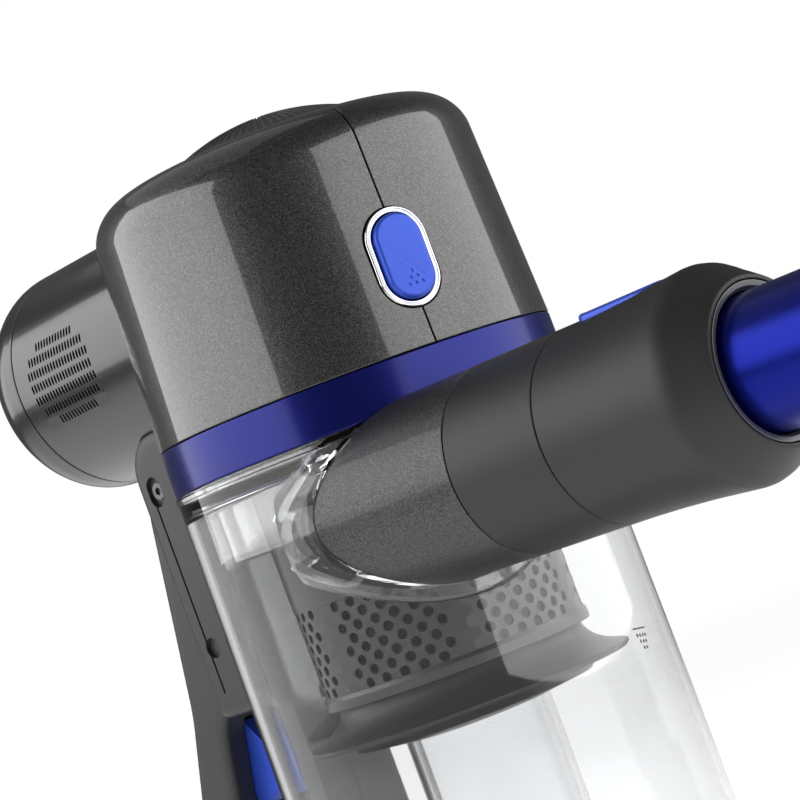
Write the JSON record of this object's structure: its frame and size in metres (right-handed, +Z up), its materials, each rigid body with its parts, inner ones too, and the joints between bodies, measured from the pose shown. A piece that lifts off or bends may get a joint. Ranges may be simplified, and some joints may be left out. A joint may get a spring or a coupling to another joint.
{
  "type": "handheld cordless vacuum",
  "caption": "Handheld cordless vacuum: rounded cyclone pod over a clear dust cup, side inlet pipe with a plug-in wand, rear motor drum, and a loop handle standing on a battery foot.",
  "frame": {"origin": "middle of the cup lid's underside, on the cup's axis, in the plane that the unit stands on", "axes": "+Z up along the cup's axis, -Y forward along the inlet pipe, +Y towards the motor and handle, -X the side that the inlet pipe is offset to"},
  "size_m": [0.124, 0.4648, 0.2863],
  "materials": {
    "pod_paint": "speckled metallic gloss paint",
    "blue_trim": "satin metallic blue",
    "blue_button": "satin metallic blue paint on plastic",
    "chrome": "dark bright plating",
    "steel": "plain steel",
    "cap_plastic": "satin ribbed plastic",
    "seal_rubber": "black elastomer",
    "filter_paper": "pleated filter paper",
    "dark_plastic": "moulded plastic",
    "clear_plastic": "clear moulded plastic",
    "shroud_steel": "dark satin, perforated",
    "skirt_plastic": "satin moulded plastic",
    "matte_black": "fine matte texture",
    "wand_blue": "anodised, satin",
    "gloss_black": "gloss moulded plastic",
    "mode_grey": "satin plastic",
    "handle_grey": "satin moulded plastic",
    "grip_soft": "soft-touch overmould",
    "screw_steel": "blackened steel",
    "board_green": "solder mask",
    "cell_wrap": "shrink wrap",
    "contact_gold": "gold-plated contact"
  },
  "bodies": {
    "housing": {"pod_shell_left": "pod_paint", "pod_shell_right": "pod_paint", "trim_ring": "blue_trim", "button_bezel": "chrome", "button_spring": "steel", "filter_well": "dark_plastic", "cone_cluster": "dark_plastic", "inlet_guide": "clear_plastic", "shroud_frame": "shroud_steel", "shroud_screen": "shroud_steel", "shroud_skirt": "skirt_plastic", "fine_dust_tube": "clear_plastic", "motor_housing": "gloss_black", "exhaust_filter": "filter_paper", "motor_stator": "dark_plastic", "motor_bearings": "steel", "motor_mount": "dark_plastic", "control_board": "board_green", "handle_left": "handle_grey", "handle_right": "handle_grey", "grip_pad": "grip_soft", "trigger_pin": "steel", "trigger_spring": "steel", "trigger_switch": "dark_plastic", "handle_screws": "screw_steel", "battery_dock": "matte_black", "charge_socket": "steel"},
    "pod_button": {"pod_button": "blue_button"},
    "filter_unit": {"filter_core": "filter_paper", "filter_seal": "seal_rubber"},
    "filter_cap": {"filter_cap": "cap_plastic"},
    "cup": {"dust_cup": "clear_plastic", "lid_hinge_pin": "steel", "latch_pin": "steel", "latch_spring": "steel", "inlet_pipe": "pod_paint", "inlet_sleeve": "matte_black", "inlet_collar": "matte_black", "wand_socket": "dark_plastic", "mouth_ring": "seal_rubber", "release_spring": "steel"},
    "lid": {"cup_lid": "dark_plastic", "lid_seal": "seal_rubber"},
    "lid_latch": {"lid_latch": "blue_button"},
    "wand_release": {"wand_release": "blue_button"},
    "wand": {"wand_tube": "wand_blue", "wand_coupling": "matte_black"},
    "motor_end_cap": {"motor_end_cap": "gloss_black"},
    "mode_button": {"mode_button": "mode_grey"},
    "rotor": {"motor_rotor": "steel"},
    "trigger": {"trigger": "blue_button"},
    "battery": {"battery_case": "matte_black", "battery_cells": "cell_wrap", "battery_contacts": "contact_gold"},
    "battery_latch_left": {"battery_latch_left": "blue_button"},
    "battery_latch_right": {"battery_latch_right": "blue_button"}
  },
  "joints": [
    {"name": "pod_button_press", "type": "slide", "parent": "housing", "child": "pod_button", "axis": [0.3256, 0.9455, 0], "range_m": [0, 0.0025], "stiffness_N_per_m": 400, "springref_m": -0.003, "deforming": ["button_spring"]},
    {"name": "filter_lift", "type": "slide", "parent": "housing", "child": "filter_unit", "axis": [0, 0, 1], "range_m": [0, 0.045]},
    {"name": "filter_cap_twist", "type": "hinge", "parent": "filter_unit", "child": "filter_cap", "pos_m": [0, 0, 0.2782], "axis": [0, 0, 1], "range_deg": [0, 35]},
    {"name": "cup_drop", "type": "slide", "parent": "housing", "child": "cup", "axis": [0, 0, -1], "range_m": [0, 0.12]},
    {"name": "lid_hinge", "type": "hinge", "parent": "cup", "child": "lid", "pos_m": [0, 0.0665, 0.0036], "axis": [1, 0, 0], "range_deg": [0, 92]},
    {"name": "lid_latch_rock", "type": "hinge", "parent": "cup", "child": "lid_latch", "pos_m": [0, -0.0649, 0.0152], "axis": [-1, 0, 0], "range_deg": [0, 6], "stiffness_Nm_per_rad": 0.6, "springref_deg": -5.73, "deforming": ["latch_spring"]},
    {"name": "wand_release_press", "type": "slide", "parent": "cup", "child": "wand_release", "axis": [0, 0, -1], "range_m": [0, 0.0012], "stiffness_N_per_m": 500, "springref_m": -0.002, "deforming": ["release_spring"]},
    {"name": "wand_pull", "type": "slide", "parent": "cup", "child": "wand", "axis": [0, -1, 0], "range_m": [0, 0.06]},
    {"name": "end_cap_twist", "type": "hinge", "parent": "housing", "child": "motor_end_cap", "pos_m": [0, 0.127, 0.2402], "axis": [0, 1, 0], "range_deg": [0, 30]},
    {"name": "mode_button_press", "type": "slide", "parent": "motor_end_cap", "child": "mode_button", "axis": [0, -1, 0], "range_m": [0, 0.0007], "stiffness_N_per_m": 600, "springref_m": -0.001},
    {"name": "rotor_spin", "type": "hinge", "parent": "housing", "child": "rotor", "pos_m": [0, 0.06, 0.2402], "axis": [0, 1, 0], "continuous": true},
    {"name": "trigger_pull", "type": "hinge", "parent": "housing", "child": "trigger", "pos_m": [0, 0.097, 0.1192], "axis": [1, 0, 0], "range_deg": [0, 10], "stiffness_Nm_per_rad": 0.8, "springref_deg": -8.59, "deforming": ["trigger_spring"]},
    {"name": "battery_drop", "type": "slide", "parent": "housing", "child": "battery", "axis": [0, 0, -1], "range_m": [0, 0.06]},
    {"name": "battery_latch_left_press", "type": "slide", "parent": "battery", "child": "battery_latch_left", "axis": [1, 0, 0], "range_m": [0, 0.0012], "stiffness_N_per_m": 500, "springref_m": -0.001},
    {"name": "battery_latch_right_press", "type": "slide", "parent": "battery", "child": "battery_latch_right", "axis": [-1, 0, 0], "range_m": [0, 0.0012], "stiffness_N_per_m": 500, "springref_m": -0.001}
  ]
}
